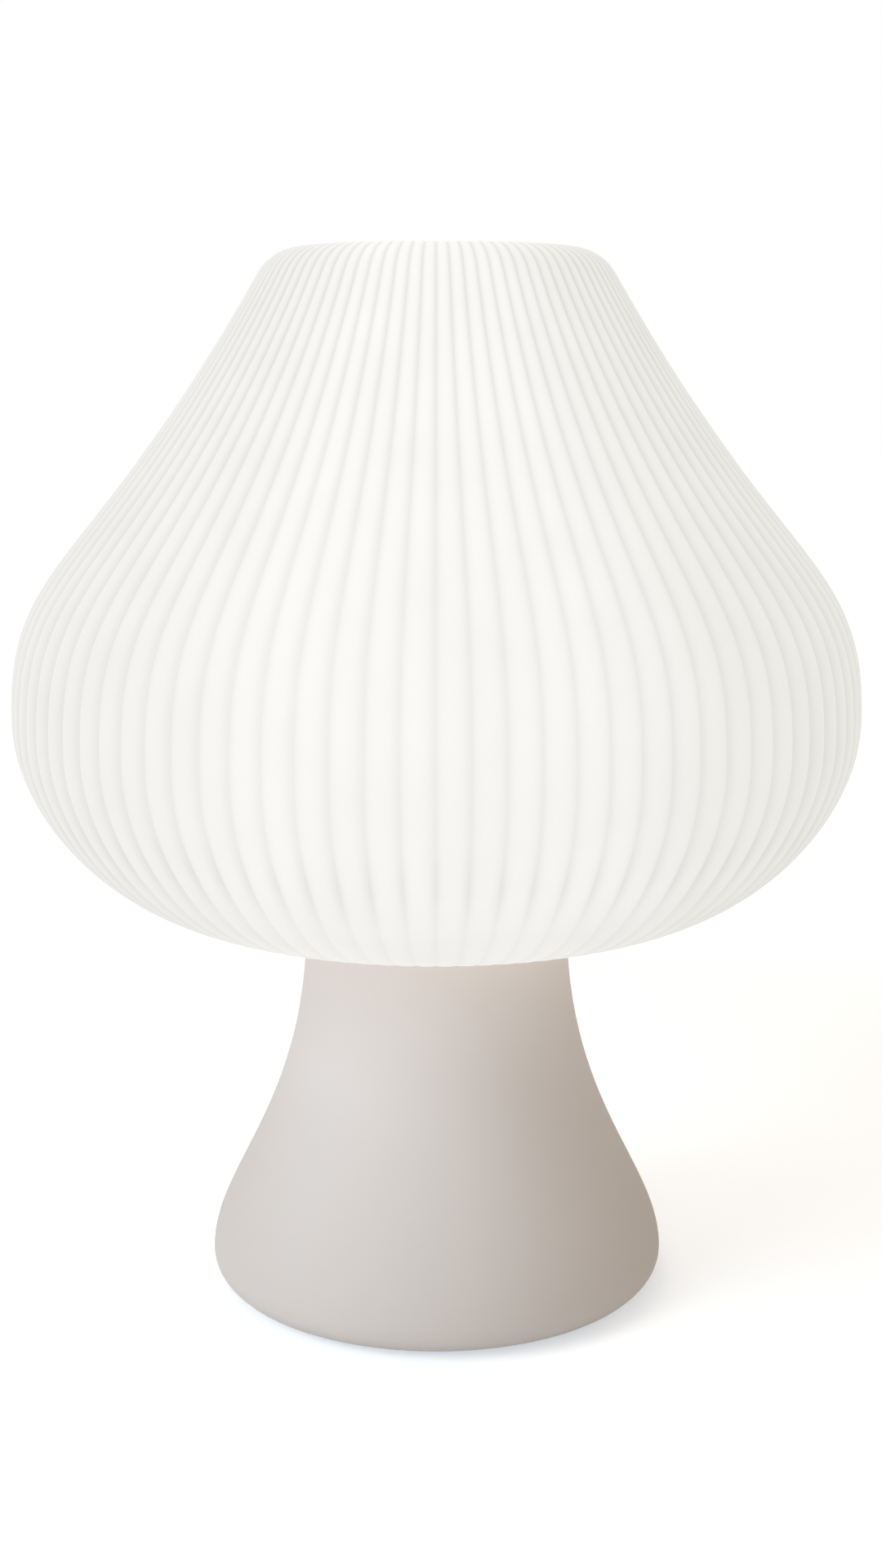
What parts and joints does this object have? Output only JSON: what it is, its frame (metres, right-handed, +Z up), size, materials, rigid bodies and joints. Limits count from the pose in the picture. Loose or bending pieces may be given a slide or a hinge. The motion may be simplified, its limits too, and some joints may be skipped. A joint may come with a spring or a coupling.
{
  "type": "table lamp",
  "caption": "Mushroom table lamp: a ribbed, flat-topped opal shade over a smooth waisted base, with a screw-in bulb inside.",
  "frame": {"origin": "on the lamp's axis, on the surface that it stands on", "axes": "+Z up along the lamp's axis; -Y is the front, and the cord gland is at the back, on +Y"},
  "size_m": [0.25, 0.25, 0.3116],
  "materials": {
    "opal_shade": "satin translucent opal",
    "base_finish": "smooth matte",
    "black_rubber": "matte",
    "clear_silicone": "satin",
    "zinc_steel": "zinc plated",
    "cast_ballast": "rough cast",
    "carrier_white": "satin",
    "holder_white": "satin",
    "steatite": "unglazed",
    "brass": "bright",
    "nickel": "nickel plated",
    "black_glass": "gloss",
    "bulb_white": "satin",
    "bulb_opal": "translucent opal",
    "board_white": "white solder mask",
    "led_phosphor": "gel",
    "board_green": "satin",
    "component_black": "satin"
  },
  "bodies": {
    "base": {"shade_gasket": "clear_silicone", "shade_carrier": "carrier_white", "base_shell": "base_finish", "base_plate": "zinc_steel", "base_plate_screws": "zinc_steel", "rubber_feet": "black_rubber", "ballast_weight": "cast_ballast", "ballast_screw": "zinc_steel", "cord_gland": "black_rubber", "threaded_nipple": "zinc_steel", "lock_nuts": "zinc_steel", "nipple_washers": "zinc_steel", "lampholder_cap": "holder_white", "lampholder_core": "steatite", "lampholder_skirt": "holder_white", "screw_sleeve": "brass", "centre_contact": "brass", "terminals": "brass", "terminal_screws": "zinc_steel"},
    "shade": {"shade": "opal_shade"},
    "bulb": {"bulb_tip_contact": "nickel", "bulb_insulator": "black_glass", "bulb_cap_shell": "nickel", "bulb_housing": "bulb_white", "bulb_globe": "bulb_opal", "led_board": "board_white", "led_chips": "led_phosphor", "driver_board": "board_green", "driver_components": "component_black"}
  },
  "joints": [
    {"name": "shade_lift", "type": "slide", "parent": "base", "child": "shade", "axis": [0, 0, 1], "range_m": [0, 0.14]},
    {"name": "bulb_unscrew", "type": "slide", "parent": "base", "child": "bulb", "axis": [0, 0, 1], "range_m": [0, 0.03]}
  ]
}
